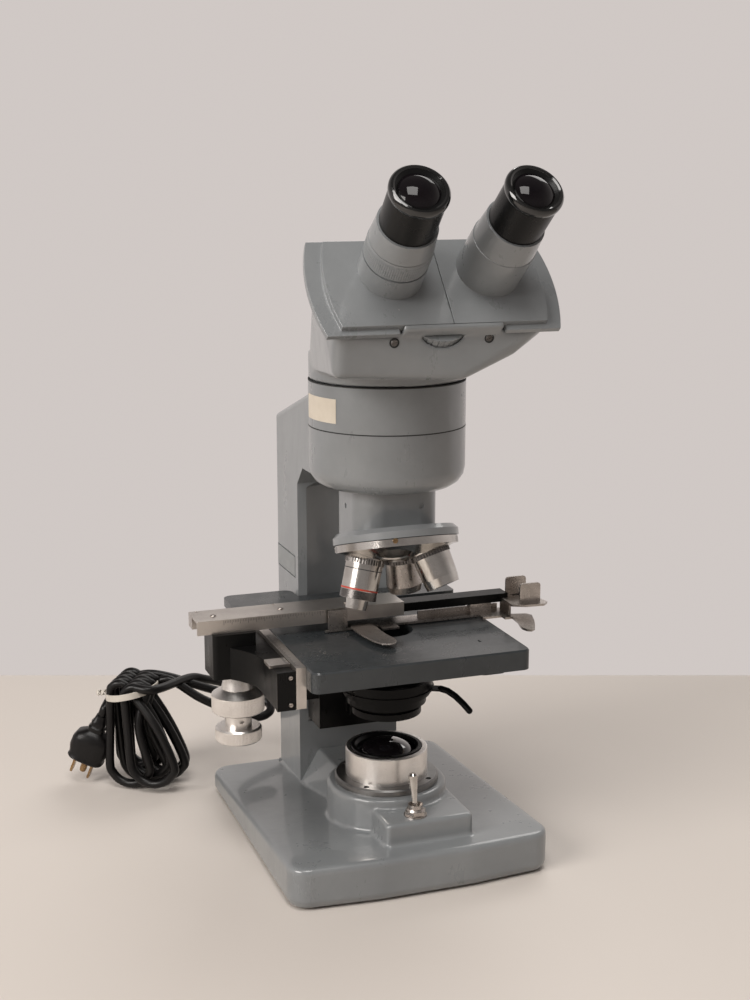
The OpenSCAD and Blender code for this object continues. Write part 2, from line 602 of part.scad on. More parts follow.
// ---- head ----
module face() {
  translate([0, plate_y, plate_z]) rotate([lean, 0, 0]) children();
}
module side(s) {
  face() translate([s * foot, 0, 0]) rotate([0, s * splay, 0]) children();
}
module head_casting() color([0.42, 0.48, 0.5]) at() difference() {
  union() {
    translate([0, 0, z_seam1 + 0.4]) cylinder(r = ring_r - 0.3, h = 16);
    hull() {
      face() translate([0, 0, -9]) slab(-64, 56, -35.5, 21, 8, 5.6);
      // lower front edge, rising to the right
      translate([-58, -88, 314]) sphere(r = 5, $fn = 32);
      translate([8, -91, 311]) sphere(r = 5, $fn = 32);
      translate([36, -91, 323]) sphere(r = 5, $fn = 32);
      translate([0, 0, 303]) cylinder(r = ring_r - 1, h = 4, $fn = 64);
      translate([0, 6, 330]) cylinder(r = 34, h = 6, $fn = 48);
    }
    // front lip between the two slide plates
    face() translate([-28.5, -36.4, -7]) cube([57, 2.6, 10]);
    translate([0, 0, 285]) cylinder(r = 24, h = 14);
  }
  // guide slots and light paths
  face() for (s = [-1, 1]) translate([s * 27 - 20, -12, -34]) cube([40, 24, 40]);
  translate([0, 0, 280]) cylinder(r = 14, h = 40);
  // thumb wheel pocket
  face() translate([wheel_u, wheel_v, -10.2]) cylinder(r = 19.2, h = 6.2);
  for (x = [-30, 27]) translate([x, -100, 331]) rotate([90, 0, 0]) cylinder(r = 1.5, h = 12);
}
module ipd_wheel() color([0.45, 0.5, 0.52]) at() face() {
  translate([wheel_u, wheel_v, -9.8]) knurl(18.8, 5.4, 36, 0.5);
}
// plate outline: arc end, straight front and back
module plate_outline(s, edge, front, back, inner) {
  intersection() {
    translate([s * (edge - 95), -8]) circle(r = 95, $fn = 180);
    translate([s > 0 ? inner : -inner - 90, front]) square([90, back - front]);
  }
}
module plate_body(s) {
  face() translate([0, 0, -3]) linear_extrude(3) plate_outline(s, s > 0 ? 66 : 74, -37, 23, 30);
  face() translate([0, 0, -3]) linear_extrude(6) plate_outline(s, s > 0 ? 57 : 65, -33.6, 21, 0.15);
}
module left_plate() color([0.42, 0.48, 0.5]) at() difference() {
  plate_body(-1);
  side(-1) translate([0, 0, -10]) cylinder(r = 11, h = 20);
}
module left_tube() color([0.45, 0.5, 0.52]) at() {
  difference() {
    side(-1) union() {
      translate([0, 0, 2]) cylinder(r = 17.8, h = 15.2);
      translate([0, 0, 17.2 - e]) cylinder(r = 15.6, h = 14);
      translate([0, 0, 30.6]) cylinder(r1 = 17.4, r2 = 16.2, h = 12.6);
    }
    side(-1) translate([0, 0, -5]) cylinder(r = 11.65, h = 60);
    face() translate([-90, -60, -17]) cube([90, 120, 20]);
  }
}
module diopter_ring() color([0.45, 0.48, 0.49]) at() side(-1) difference() {
  union() {
    translate([0, 0, 18.2]) cylinder(r = 17.6, h = 10.8);
    translate([0, 0, 29 - e]) cylinder(r1 = 17.6, r2 = 17.1, h = 0.8);
  }
  translate([0, 0, 10]) cylinder(r = 15.7, h = 30);
}
module right_plate() color([0.42, 0.48, 0.5]) at() {
  difference() {
    plate_body(1);
    side(1) translate([0, 0, -10]) cylinder(r = 11.65, h = 20);
  }
  difference() {
    side(1) union() {
      translate([0, 0, 2]) cylinder(r = 17.8, h = 26);
      translate([0, 0, 28 - e]) cylinder(r1 = 17.4, r2 = 16.2, h = 15.2);
    }
    side(1) translate([0, 0, -5]) cylinder(r = 11.65, h = 60);
    face() translate([0, -60, -17.02]) cube([90, 120, 20]);
  }
}
module eyepiece(s) {
  side(s) difference() {
    union() {
      translate([0, 0, 14]) cylinder(r = 11.6, h = 30);
      translate([0, 0, 43.3]) cylinder(r = sleeve_r, h = 21.7);
      translate([0, 0, 65 - e]) cylinder(r1 = sleeve_r, r2 = sleeve_r + 0.5, h = 1);
      translate([0, 0, 66 - e]) cylinder(r = sleeve_r + 0.5, h = 2.8);
      translate([0, 0, 68.8 - e]) cylinder(r1 = sleeve_r + 0.5, r2 = sleeve_r - 0.7, h = 1.2);
    }
    translate([0, 0, 10]) cylinder(r = 9.5, h = 22);
    translate([0, 0, 67.2]) cylinder(r1 = 9, r2 = 13.6, h = 3);
    translate([0, 0, 64.5]) cylinder(r = 9, h = 3);
  }
  side(s) translate([0, 0, 62]) intersection() {
    cylinder(r = 9, h = 8);
    translate([0, 0, -16]) sphere(r = 21);
  }
}
module left_eyepiece() color([0.04, 0.04, 0.04]) at() eyepiece(-1);
module right_eyepiece() color([0.04, 0.04, 0.04]) at() eyepiece(1);

// ---- mains lead ----
module cord_bushing() color([0.05, 0.05, 0.05]) at()
translate([exit_x, arm_b, exit_z]) rotate([-90, 0, 0]) difference() {
  union() {
    translate([0, 0, -6]) cylinder(r = 4.6, h = 6);
    cylinder(r = 6.4, h = 2.5);
    translate([0, 0, 2.5 - e]) cylinder(r1 = 5.2, r2 = 3.9, h = 26);
  }
  translate([0, 0, -7]) cylinder(r = lead_d / 2, h = 60);
}
function unit(v) = v / norm(v);
// round tube swept along points, one closed solid
module sweep(p, r, k) {
  n = len(p);
  t = [for (i = [0 : n - 1]) unit(p[min(i + 1, n - 1)] - p[max(i - 1, 0)])];
  function side_v(i) = unit(cross(t[i], abs(t[i][2]) > 0.9 ? [1, 0, 0] : [0, 0, 1]));
  pts = [for (i = [0 : n - 1]) let (a = side_v(i), b = cross(t[i], a)) for (j = [0 : k - 1])
    p[i] + r * (a * cos(360 * j / k) + b * sin(360 * j / k))];
  f = [for (i = [0 : n - 2]) for (j = [0 : k - 1]) [i * k + j, i * k + (j + 1) % k,
    (i + 1) * k + (j + 1) % k,
    (i + 1) * k + j]];
  polyhedron(concat(pts), concat(f, [[for (j = [k - 1 : -1 : 0]) j]],
    [[for (j = [0 : k - 1]) (n - 1) * k + j]]));
}
module cord_lead() color([0.03, 0.03, 0.03]) at() sweep(lead, lead_d / 2, 10);
// hank: a fan of folded turns standing on its loops, with one long loop to the right
module cord_hank() color([0.03, 0.03, 0.03]) at() {
  translate([hank_at[0], hank_at[1], 0]) rotate(hank_turn) rotate([90, 0, 0]) translate([0, 0, -hank_t / 2])
    linear_extrude(hank_t) {
      hull() {
        translate([-16, 66]) circle(16);
        translate([-22, 18]) circle(18);
        translate([16, 18]) circle(18);
      }
      hull() {
        translate([-10, 70]) circle(10);
        translate([34, 62]) circle(12);
      }
    }
}
module cord_plug() color([0.04, 0.04, 0.04]) at() translate([-150, 160, 47]) rotate([0, 22, -28]) {
  translate([0, 0, -12]) cylinder(r1 = 6, r2 = 4, h = 14);
  translate([-12, -9, -32]) cube([24, 18, 21]);
  for (x = [-6.3, 6.3]) translate([x - 0.8, -1, -44]) cube([1.6, 6.4, 12.1]);
  translate([0, -5, -46]) cylinder(r = 2.4, h = 14.1);
}

base_casting();
bottom_cover();
rubber_feet();
cover_screws();
transformer();
lamp_socket();
lamp_bulb();
lamp_mirror();
field_flange();
field_collar();
field_retainer();
field_lens();
switch_bushing();
switch_lever();
cord_bushing();
arm_column();
arm_cover();
ring_label();
arm_label();
coarse_knobs();
fine_knobs();
coarse_carrier();
nosepiece_block();
turret_pivot();
turret_body();
objective_high();
objective_band();
objective_mid();
objective_low();
objective_lenses();
stage_bracket();
stage_plate();
stage_pad();
y_guide();
y_block();
y_end_cap();
y_vernier();
x_rail();
y_knob();
x_knob();
x_bar();
slide_holder();
spring_finger();
condenser_carrier();
condenser_rings();
condenser_lens();
iris_lever();
condenser_knobs();
head_casting();
ipd_wheel();
left_plate();
left_tube();
diopter_ring();
left_eyepiece();
right_plate();
right_eyepiece();
cord_lead();
cord_hank();
cord_plug();
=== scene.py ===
"""Looks of a binocular laboratory microscope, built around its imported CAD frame."""

import json
import math

import bmesh
import bpy
from mathutils import Matrix, Vector


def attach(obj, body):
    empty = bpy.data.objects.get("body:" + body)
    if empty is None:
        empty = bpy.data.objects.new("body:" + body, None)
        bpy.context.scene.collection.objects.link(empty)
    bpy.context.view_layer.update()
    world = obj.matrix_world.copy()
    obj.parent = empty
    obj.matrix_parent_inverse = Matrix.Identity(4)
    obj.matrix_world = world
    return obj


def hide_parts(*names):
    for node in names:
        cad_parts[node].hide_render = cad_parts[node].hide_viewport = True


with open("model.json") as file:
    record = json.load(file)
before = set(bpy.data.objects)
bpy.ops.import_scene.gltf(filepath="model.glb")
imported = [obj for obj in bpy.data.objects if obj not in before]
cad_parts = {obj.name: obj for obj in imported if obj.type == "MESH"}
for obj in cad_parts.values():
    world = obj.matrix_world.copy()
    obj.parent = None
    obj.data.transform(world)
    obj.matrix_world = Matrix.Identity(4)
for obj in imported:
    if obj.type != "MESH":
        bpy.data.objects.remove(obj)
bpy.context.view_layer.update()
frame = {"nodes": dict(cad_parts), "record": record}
nodes = frame["nodes"]

MM = 0.001
UP = (0, 0, 1)
# the design's optical axis in the row frame, in millimetres
AXIS_X = 6.0
AXIS_Y = 6.2


def at(x, y, z):
    """A point of the design, in millimetres from the optical axis, in metres of the row frame."""
    return Vector(((x + AXIS_X) * MM, (y + AXIS_Y) * MM, z * MM))


# ---------------------------------------------------------------- camera
YAW = 19.72
PITCH = 12.18
camera_data = bpy.data.cameras.new("camera")
camera_data.lens = 53.9
camera_data.sensor_width = 36
camera_data.clip_end = 50
camera = bpy.data.objects.new("camera", camera_data)
bpy.context.scene.collection.objects.link(camera)
camera.location = at(-302.6, -823.3, 411.9)
camera.rotation_euler = (math.radians(90 - PITCH), 0, math.radians(-YAW))
bpy.context.scene.camera = camera
# colours are rendered without a film curve, like the photo's
bpy.context.scene.view_settings.view_transform = "Standard"


# ---------------------------------------------------------------- materials
def new_material(name):
    material = bpy.data.materials.new(name)
    material.use_nodes = True
    tree = material.node_tree
    tree.nodes.clear()
    out = tree.nodes.new("ShaderNodeOutputMaterial")
    shader = tree.nodes.new("ShaderNodeBsdfPrincipled")
    tree.links.new(shader.outputs[0], out.inputs[0])
    return material, tree, shader


def coordinates(tree, stretch=(1, 1, 1)):
    source = tree.nodes.new("ShaderNodeTexCoord")
    mapping = tree.nodes.new("ShaderNodeMapping")
    mapping.inputs["Scale"].default_value = stretch
    tree.links.new(source.outputs["Object"], mapping.inputs["Vector"])
    return mapping.outputs[0]


def noise(tree, vector, scale, detail=4.0, rough=0.6):
    node = tree.nodes.new("ShaderNodeTexNoise")
    node.inputs["Scale"].default_value = scale
    node.inputs["Detail"].default_value = detail
    node.inputs["Roughness"].default_value = rough
    tree.links.new(vector, node.inputs["Vector"])
    return node.outputs["Fac"]


def ramp(tree, fac, *stops):
    node = tree.nodes.new("ShaderNodeValToRGB")
    ends = node.color_ramp.elements
    while len(ends) < len(stops):
        ends.new(0.5)
    for end, (place, colour) in zip(ends, stops):
        end.position = place
        end.color = (*colour, 1)
    tree.links.new(fac, node.inputs["Fac"])
    return node.outputs["Color"]


def blend(tree, fac, a, b):
    node = tree.nodes.new("ShaderNodeMix")
    node.data_type = "RGBA"
    for socket, value in ((node.inputs[0], fac), (node.inputs[6], a), (node.inputs[7], b)):
        if isinstance(value, bpy.types.NodeSocket):
            tree.links.new(value, socket)
        else:
            socket.default_value = value if isinstance(value, float) else (*value, 1)
    return node.outputs[2]


def spread(tree, fac, low, high, start=0.3, stop=0.7):
    node = tree.nodes.new("ShaderNodeMapRange")
    node.inputs["From Min"].default_value = start
    node.inputs["From Max"].default_value = stop
    node.inputs["To Min"].default_value = low
    node.inputs["To Max"].default_value = high
    tree.links.new(fac, node.inputs["Value"])
    return node.outputs[0]


def bump(tree, shader, fac, height, strength=1.0):
    node = tree.nodes.new("ShaderNodeBump")
    node.inputs["Strength"].default_value = strength
    node.inputs["Distance"].default_value = height
    tree.links.new(fac, node.inputs["Height"])
    tree.links.new(node.outputs[0], shader.inputs["Normal"])


def enamel(name, colour, dark, rough, coat=0.55, specks=(0.5, 0.49, 0.46), shine=0.5):
    """Sprayed enamel: orange peel, hand smudges, dust and a few chips."""
    material, tree, shader = new_material(name)
    where = coordinates(tree)
    smudge = noise(tree, where, 14, 5, 0.65)
    base = ramp(tree, smudge, (0.3, dark), (0.62, colour))
    grime = noise(tree, coordinates(tree, (1, 1, 0.35)), 55, 6, 0.7)
    base = blend(tree, spread(tree, grime, 0.0, 0.35, 0.55, 0.8), base, dark)
    chip = noise(tree, where, 420, 2, 0.5)
    base = blend(tree, spread(tree, chip, 0.0, 0.6, 0.8, 0.85), base, specks)
    tree.links.new(base, shader.inputs["Base Color"])
    tree.links.new(spread(tree, grime, rough[0], rough[1]), shader.inputs["Roughness"])
    shader.inputs["Coat Weight"].default_value = coat
    shader.inputs["Coat Roughness"].default_value = 0.07
    shader.inputs["Specular IOR Level"].default_value = shine
    bump(tree, shader, noise(tree, where, 700, 2, 0.5), 0.00002, 0.35)
    return material


def metal(name, colour, tarnish, rough, streak=(1, 1, 1)):
    """Bare or plated metal: drawn streaks or turned grain, with finger tarnish."""
    material, tree, shader = new_material(name)
    where = coordinates(tree)
    stain = noise(tree, where, 45, 6, 0.65)
    tree.links.new(ramp(tree, stain, (0.32, tarnish), (0.58, colour)), shader.inputs["Base Color"])
    lines = noise(tree, coordinates(tree, streak), 600, 3, 0.55)
    tree.links.new(spread(tree, lines, rough[0], rough[1], 0.25, 0.75), shader.inputs["Roughness"])
    shader.inputs["Metallic"].default_value = 1.0
    bump(tree, shader, lines, 0.00001, 0.6)
    return material


def moulded(name, colour, worn, rough, grain=1500, depth=0.00003, coat=0.0, shine=0.5):
    """Plastic, rubber or card: moulded grain and rubbed patches."""
    material, tree, shader = new_material(name)
    where = coordinates(tree)
    rubbed = noise(tree, where, 38, 5, 0.6)
    tree.links.new(ramp(tree, rubbed, (0.35, colour), (0.72, worn)), shader.inputs["Base Color"])
    tree.links.new(spread(tree, rubbed, rough[0], rough[1]), shader.inputs["Roughness"])
    shader.inputs["Coat Weight"].default_value = coat
    shader.inputs["Specular IOR Level"].default_value = shine
    bump(tree, shader, noise(tree, where, grain, 3, 0.5), depth, 0.7)
    return material


def glass(name, tint):
    """Coated optical glass with a little dust."""
    material, tree, shader = new_material(name)
    dust = noise(tree, coordinates(tree), 500, 4, 0.6)
    tree.links.new(ramp(tree, dust, (0.4, tint), (0.8, (0.85, 0.87, 0.9))), shader.inputs["Base Color"])
    tree.links.new(spread(tree, dust, 0.03, 0.15, 0.5, 0.9), shader.inputs["Roughness"])
    shader.inputs["Transmission Weight"].default_value = 0.92
    shader.inputs["IOR"].default_value = 1.5
    return material


GREY = enamel("grey_enamel", (0.215, 0.226, 0.232), (0.178, 0.187, 0.193), (0.24, 0.4))
SLATE = enamel("stage_enamel", (0.038, 0.043, 0.046), (0.02, 0.023, 0.025), (0.2, 0.42),
               coat=0.2, specks=(0.12, 0.12, 0.12), shine=0.4)
BLACK = enamel("black_enamel", (0.005, 0.005, 0.005), (0.003, 0.003, 0.003), (0.22, 0.42),
               coat=0.04, specks=(0.03, 0.03, 0.03), shine=0.12)
NICKEL = metal("bright_nickel", (0.62, 0.6, 0.57), (0.46, 0.43, 0.4), (0.1, 0.22), (1, 1, 6))
ALUMINIUM = metal("brushed_aluminium", (0.62, 0.58, 0.54), (0.5, 0.46, 0.43), (0.26, 0.42), (1, 12, 12))
TURNED = metal("turned_aluminium", (0.82, 0.79, 0.76), (0.72, 0.69, 0.66), (0.24, 0.42), (1, 1, 22))
FLANGE = metal("dull_aluminium", (0.24, 0.235, 0.23), (0.17, 0.168, 0.166), (0.3, 0.45), (6, 6, 1))
STEEL = metal("satin_steel", (0.5, 0.46, 0.43), (0.36, 0.33, 0.3), (0.22, 0.38), (1, 5, 1))
DARK_STEEL = metal("dark_steel", (0.16, 0.15, 0.145), (0.08, 0.075, 0.07), (0.2, 0.36), (1, 1, 8))
PLASTIC = moulded("black_plastic", (0.004, 0.004, 0.004), (0.007, 0.007, 0.007), (0.22, 0.36),
                  coat=0.03, shine=0.2)
GLOSS = moulded("gloss_rim", (0.004, 0.004, 0.004), (0.007, 0.007, 0.007), (0.06, 0.14),
                coat=0.6, depth=0.00001)
DOME = moulded("lamp_glass", (0.006, 0.005, 0.006), (0.01, 0.008, 0.009), (0.02, 0.05),
               coat=1.0, depth=0.000002)
EYE = moulded("eye_glass", (0.004, 0.003, 0.004), (0.007, 0.005, 0.006), (0.03, 0.07),
              depth=0.000002, shine=0.3)
RUBBER = moulded("rubber", (0.0025, 0.0022, 0.0022), (0.006, 0.005, 0.005), (0.26, 0.42),
                 grain=900, shine=0.28)
CARD = moulded("label_card", (0.6, 0.54, 0.45), (0.5, 0.44, 0.36), (0.5, 0.7), grain=2500)
FAINT = moulded("faint_label", (0.27, 0.28, 0.28), (0.22, 0.23, 0.235), (0.4, 0.6), grain=2500)
TIE = moulded("tie_paper", (0.6, 0.56, 0.5), (0.5, 0.46, 0.4), (0.5, 0.7), grain=3000, depth=0.00008)
RED = moulded("red_band", (0.42, 0.03, 0.015), (0.5, 0.06, 0.03), (0.3, 0.45))
CORE = moulded("coil_iron", (0.12, 0.06, 0.03), (0.2, 0.1, 0.05), (0.4, 0.6), grain=300)
CERAMIC = moulded("socket_ceramic", (0.6, 0.57, 0.5), (0.5, 0.46, 0.4), (0.3, 0.5))
LENS = glass("optical_glass", (0.5, 0.62, 0.72))
BULB = glass("bulb_glass", (0.9, 0.88, 0.8))
MIRROR = metal("mirror_glass", (0.9, 0.91, 0.93), (0.8, 0.82, 0.84), (0.02, 0.08))
INK = moulded("scale_ink", (0.02, 0.02, 0.02), (0.05, 0.05, 0.05), (0.5, 0.7))
# painted shade: near-black bands laid into seam grooves, gaps and recesses where shade falls
SEAM_SHADE = moulded("seam_shadow", (0.01, 0.011, 0.011), (0.02, 0.021, 0.021), (0.7, 0.9))
BRASS = metal("blade_brass", (0.42, 0.28, 0.14), (0.2, 0.12, 0.07), (0.2, 0.4))

SLOT_MATERIALS = {
    "grey_enamel": GREY, "stage_enamel": SLATE, "black_enamel": BLACK, "bright_nickel": NICKEL,
    "brushed_aluminium": ALUMINIUM, "satin_steel": STEEL, "black_plastic": PLASTIC, "rubber": RUBBER,
    "label_card": CARD, "red_band": RED, "coil_iron": CORE, "socket_ceramic": CERAMIC,
    "optical_glass": LENS, "bulb_glass": BULB, "mirror_glass": MIRROR,
}
slot_of = {part["node"]: part["material_slot"] for part in frame["record"]["subparts"]}
body_of = {node: body for body, held in frame["record"]["behaviour"]["bodies"].items() for node in held}
special = {"y_knob": TURNED, "x_knob": TURNED, "fine_knobs": TURNED, "field_collar": TURNED,
           "field_flange": FLANGE, "arm_label": FAINT, "objective_mid": STEEL}
for name, thing in nodes.items():
    thing.data.materials.clear()
    thing.data.materials.append(special.get(name, SLOT_MATERIALS[slot_of[name]]))


# ---------------------------------------------------------------- mesh helpers
def link(name, mesh, material, body):
    thing = bpy.data.objects.new(name, mesh)
    bpy.context.scene.collection.objects.link(thing)
    mesh.materials.clear()
    mesh.materials.append(material)
    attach(thing, body)
    return thing


def mesh_from(shape, name):
    """The mesh of a finished bmesh, with its normals outward."""
    bmesh.ops.recalc_face_normals(shape, faces=shape.faces)
    mesh = bpy.data.meshes.new(name)
    shape.to_mesh(mesh)
    shape.free()
    return mesh


def skin(shape, low, high):
    """Quads between two rings with as many vertices."""
    count = len(low)
    for i in range(count):
        j = (i + 1) % count
        shape.faces.new((low[i], low[j], high[j], high[i]))


def shade(mesh, angle=35):
    mesh.shade_smooth()
    mesh.set_sharp_from_angle(angle=math.radians(angle))


def apply_modifiers(thing):
    graph = bpy.context.evaluated_depsgraph_get()
    made = bpy.data.meshes.new_from_object(thing.evaluated_get(graph))
    thing.modifiers.clear()
    thing.data = made


def softened(node, width):
    """A copy of a CAD node with small rounded edges, in its place."""
    mesh = nodes[node].data.copy()
    shape = bmesh.new()
    shape.from_mesh(mesh)
    bmesh.ops.remove_doubles(shape, verts=shape.verts, dist=1e-6)
    bmesh.ops.dissolve_limit(shape, angle_limit=math.radians(1.0), verts=shape.verts, edges=shape.edges)
    shape.to_mesh(mesh)
    shape.free()
    piece = link(node + "_finished", mesh, mesh.materials[0], body_of[node])
    bevel = piece.modifiers.new("edges", "BEVEL")
    bevel.width = width * MM
    bevel.segments = 2
    bevel.limit_method = "ANGLE"
    bevel.angle_limit = math.radians(28)
    bevel.use_clamp_overlap = True
    apply_modifiers(piece)
    shade(piece.data)
    even = piece.modifiers.new("normals", "WEIGHTED_NORMAL")
    even.keep_sharp = True
    even.weight = 90
    apply_modifiers(piece)
    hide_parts(node)
    return piece


def cast(node, voxel, passes):
    """A copy of a CAD node with the soft edges of a sand casting, in its place."""
    piece = link(node + "_casting", nodes[node].data.copy(), nodes[node].data.materials[0],
                 body_of[node])
    remesh = piece.modifiers.new("skin", "REMESH")
    remesh.mode = "VOXEL"
    remesh.voxel_size = voxel * MM
    smooth = piece.modifiers.new("soft", "SMOOTH")
    smooth.factor = 0.5
    smooth.iterations = passes
    apply_modifiers(piece)
    piece.data.shade_smooth()
    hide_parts(node)
    return piece


def lathe(name, profile, place, axis, material, body, steps=64, teeth=0, bite=0.0):
    """A turned piece from (radius, height) points in millimetres, about axis at place, with knurling."""
    shape = bmesh.new()
    turn = Vector((0, 0, 1)).rotation_difference(Vector(axis)).to_matrix()
    rings = []
    if teeth:
        steps = 2 * teeth
    widest = max(point[0] for point in profile)
    for radius, height in profile:
        ring = []
        knurled = teeth and radius > widest - 0.2
        for i in range(steps):
            angle = 2 * math.pi * i / steps
            reach = widest - bite * (i % 2) if knurled else radius
            local = Vector((reach * math.cos(angle), reach * math.sin(angle), height)) * MM
            ring.append(shape.verts.new(place + turn @ local))
        rings.append(ring)
    for low, high in zip(rings, rings[1:]):
        skin(shape, low, high)
    if profile[0] != profile[-1]:
        shape.faces.new(list(reversed(rings[0])))
        shape.faces.new(rings[-1])
    else:
        bmesh.ops.remove_doubles(shape, verts=shape.verts, dist=1e-7)
    mesh = mesh_from(shape, name)
    shade(mesh, 30)
    return link(name, mesh, material, body)


def collar(radius, low, high, depth=1.2):
    """The profile of a plain ring, between two heights."""
    inner = radius - depth
    return [(inner, low), (radius, low), (radius, high), (inner, high), (inner, low)]


def screw(name, place, axis, radius, material, body, turn=20, height=0.7):
    """A slotted pan-head screw."""
    outer = [(radius, 0), (radius, height * 0.5), (radius * 0.86, height), (0.02, height)]
    head = lathe(name, outer, place, axis, material, body, 32)
    cutter_mesh = bpy.data.meshes.new("slot")
    shape = bmesh.new()
    bmesh.ops.create_cube(shape, size=1)
    shape.to_mesh(cutter_mesh)
    shape.free()
    cutter = bpy.data.objects.new("slot", cutter_mesh)
    bpy.context.scene.collection.objects.link(cutter)
    direction = Vector(axis).normalized()
    spin = Vector((0, 0, 1)).rotation_difference(direction).to_matrix().to_4x4()
    spin = spin @ Matrix.Rotation(math.radians(turn), 4, "Z")
    spin = Matrix.Translation(place + direction * height * MM) @ spin
    size = Matrix.Diagonal((radius * 3 * MM, radius * 0.3 * MM, height * 0.9 * MM, 1))
    cutter.matrix_world = spin @ size
    cut = head.modifiers.new("slot", "BOOLEAN")
    cut.object = cutter
    bpy.context.view_layer.update()
    apply_modifiers(head)
    bpy.data.objects.remove(cutter)
    return head


def marks(name, boxes, material, body):
    """Thin engraved lines, all in one mesh, each between two design points."""
    shape = bmesh.new()
    for low, high in boxes:
        a, b = at(*low), at(*high)
        made = bmesh.ops.create_cube(shape, size=1)["verts"]
        for vert in made:
            vert.co = Vector([a[i] + (b[i] - a[i]) * (vert.co[i] + 0.5) for i in range(3)])
    mesh = bpy.data.meshes.new(name)
    shape.to_mesh(mesh)
    shape.free()
    return link(name, mesh, material, body)


def smooth_path(points, steps):
    """Catmull-Rom points through the given ones."""
    out = []
    last = len(points) - 1
    for i in range(last):
        p0, p1, p2, p3 = points[max(i - 1, 0)], points[i], points[i + 1], points[min(i + 2, last)]
        for k in range(steps):
            t = k / steps
            out.append(0.5 * (2 * p1 + (p2 - p0) * t + (2 * p0 - 5 * p1 + 4 * p2 - p3) * t * t
                              + (3 * p1 - p0 - 3 * p2 + p3) * t * t * t))
    out.append(points[-1])
    return out


# ---------------------------------------------------------------- mains lead
LEAD_D = 6.0
# rounds of averaging that ease the path's tight spots
EASING = 5
# the stretch from the bushing to the bundle, as in the CAD model
LEAD = [(-14, 118, 32), (-14, 130, 32), (-14, 142, 32), (-14, 154, 32), (-16, 166, 34), (-22, 177, 38),
        (-32, 184, 43), (-44, 184, 48), (-55, 179, 54), (-66, 173, 60), (-77, 167, 65), (-88, 162, 69)]
HANK_X, HANK_Y = -116.0, 150.0
HANK_TURN = math.radians(-30)


def hank(u, v, t):
    """A point of the bundle: u along it, v up, t across it."""
    cos, sin = math.cos(HANK_TURN), math.sin(HANK_TURN)
    return at(HANK_X + u * cos + t * sin, HANK_Y + u * sin - t * cos, v)


# each turn's foot: its middle along the bundle, its radius and how far it stands off the table
FEET = ((-12, 14, 2), (4, 15, 0), (-15, 13, 4), (7, 14.5, 1), (-6, 16, 0), (0, 14, 5), (-13, 15, 0),
        (5, 16, 3))
TOP_STEPS = 6
FOOT_STEPS = 7


def turn_of_hank(index):
    """One drop-shaped turn: over the top, down the left, round the foot and up the right."""
    layer = index % 2
    depth = -15.0 + 4.3 * index
    top_r = 6.5 + 0.9 * layer
    top_u = -20 + 12 * layer
    top_v = 67.5 - 1.5 * layer
    foot_u, foot_r, lift = FEET[index]
    foot_v = 3.6 + foot_r + lift
    points = []
    for k in range(TOP_STEPS + 1):
        angle = math.radians(20 + 150 * k / TOP_STEPS)
        points.append((top_u + top_r * math.cos(angle), top_v + top_r * math.sin(angle),
                       depth + 0.5 * k / TOP_STEPS))
    points.append((0.6 * (top_u - top_r) + 0.4 * (foot_u - foot_r), 0.5 * (top_v + foot_v) + 3, depth + 1.0))
    for k in range(FOOT_STEPS + 1):
        angle = math.radians(185 + 170 * k / FOOT_STEPS)
        points.append((foot_u + foot_r * math.cos(angle), foot_v + foot_r * math.sin(angle),
                       depth * 1.2 + 1.2 + 2.0 * k / FOOT_STEPS))
    points.append((0.6 * (top_u + top_r) + 0.4 * (foot_u + foot_r), 0.5 * (top_v + foot_v) + 3, depth + 3.2))
    return [hank(*p) for p in points]


route = [at(*p) for p in LEAD] + [hank(7, 72, 14.4)]
# the first turn starts on its own top
route += turn_of_hank(7)[2:]
for i in range(6, -1, -1):
    route += turn_of_hank(i)
# a long loop to the right, then down the left side into the plug
LOOP = ((-4, 60, -12), (-1, 67.5, -12.3), (6, 71, -12.8), (15, 67, -13.5), (28, 58, -15),
        (44, 50, -19), (58, 43, -24), (69, 41, -30), (74, 44, -37), (69, 48, -43),
        (57, 51, -41), (42, 56, -33), (25, 63, -25), (8, 70, -19), (-9, 73, -16),
        (-23, 68, -15), (-32, 60, -13))
route += [hank(*p) for p in LOOP]
PLUG_TOP = Vector((-150, 160, 49))
PLUG_AXIS = Vector((-0.331, 0.176, -0.927)).normalized()
route += [at(*(PLUG_TOP - PLUG_AXIS * 8)), at(*PLUG_TOP), at(*(PLUG_TOP + PLUG_AXIS * 6))]


def make_cord():
    curve = bpy.data.curves.new("mains_cord", "CURVE")
    curve.dimensions = "3D"
    curve.bevel_depth = LEAD_D / 2 * MM
    curve.bevel_resolution = 5
    curve.use_fill_caps = True
    path = smooth_path(route, 6)
    for _ in range(EASING):
        inner = [(a + 2 * b + c) / 4 for a, b, c in zip(path, path[1:], path[2:])]
        path = [path[0], *inner, path[-1]]
    spline = curve.splines.new("POLY")
    spline.points.add(len(path) - 1)
    for point, place in zip(spline.points, path):
        point.co = (place.x, place.y, max(place.z, LEAD_D / 2 * MM + 0.0002), 1)
    spline.use_smooth = True
    curve.materials.append(RUBBER)
    piece = bpy.data.objects.new("mains_cord", curve)
    bpy.context.scene.collection.objects.link(piece)
    return piece


# across the plug's flat sides, and through its thickness
PLUG_ACROSS = Vector((0.86, -0.42, 0)).normalized()
PLUG_ACROSS = (PLUG_ACROSS - PLUG_AXIS * PLUG_ACROSS.dot(PLUG_AXIS)).normalized()
PLUG_DEEP = PLUG_AXIS.cross(PLUG_ACROSS)
# height, half width and half thickness of the moulded body, from the neck to the face
PLUG_SECTIONS = ((0, 3.6, 3.6), (4, 4.4, 4.4), (5, 5.2, 5.0), (8, 5.0, 4.8), (9, 6.0, 5.6), (12, 5.8, 5.4),
                 (13.5, 8.0, 6.8), (16, 12.0, 8.6), (20, 13.6, 9.4), (26, 13.8, 9.6), (30, 12.6, 9.0),
                 (32, 12.4, 9.4), (33.4, 12.8, 9.8), (34.4, 12.2, 9.2))
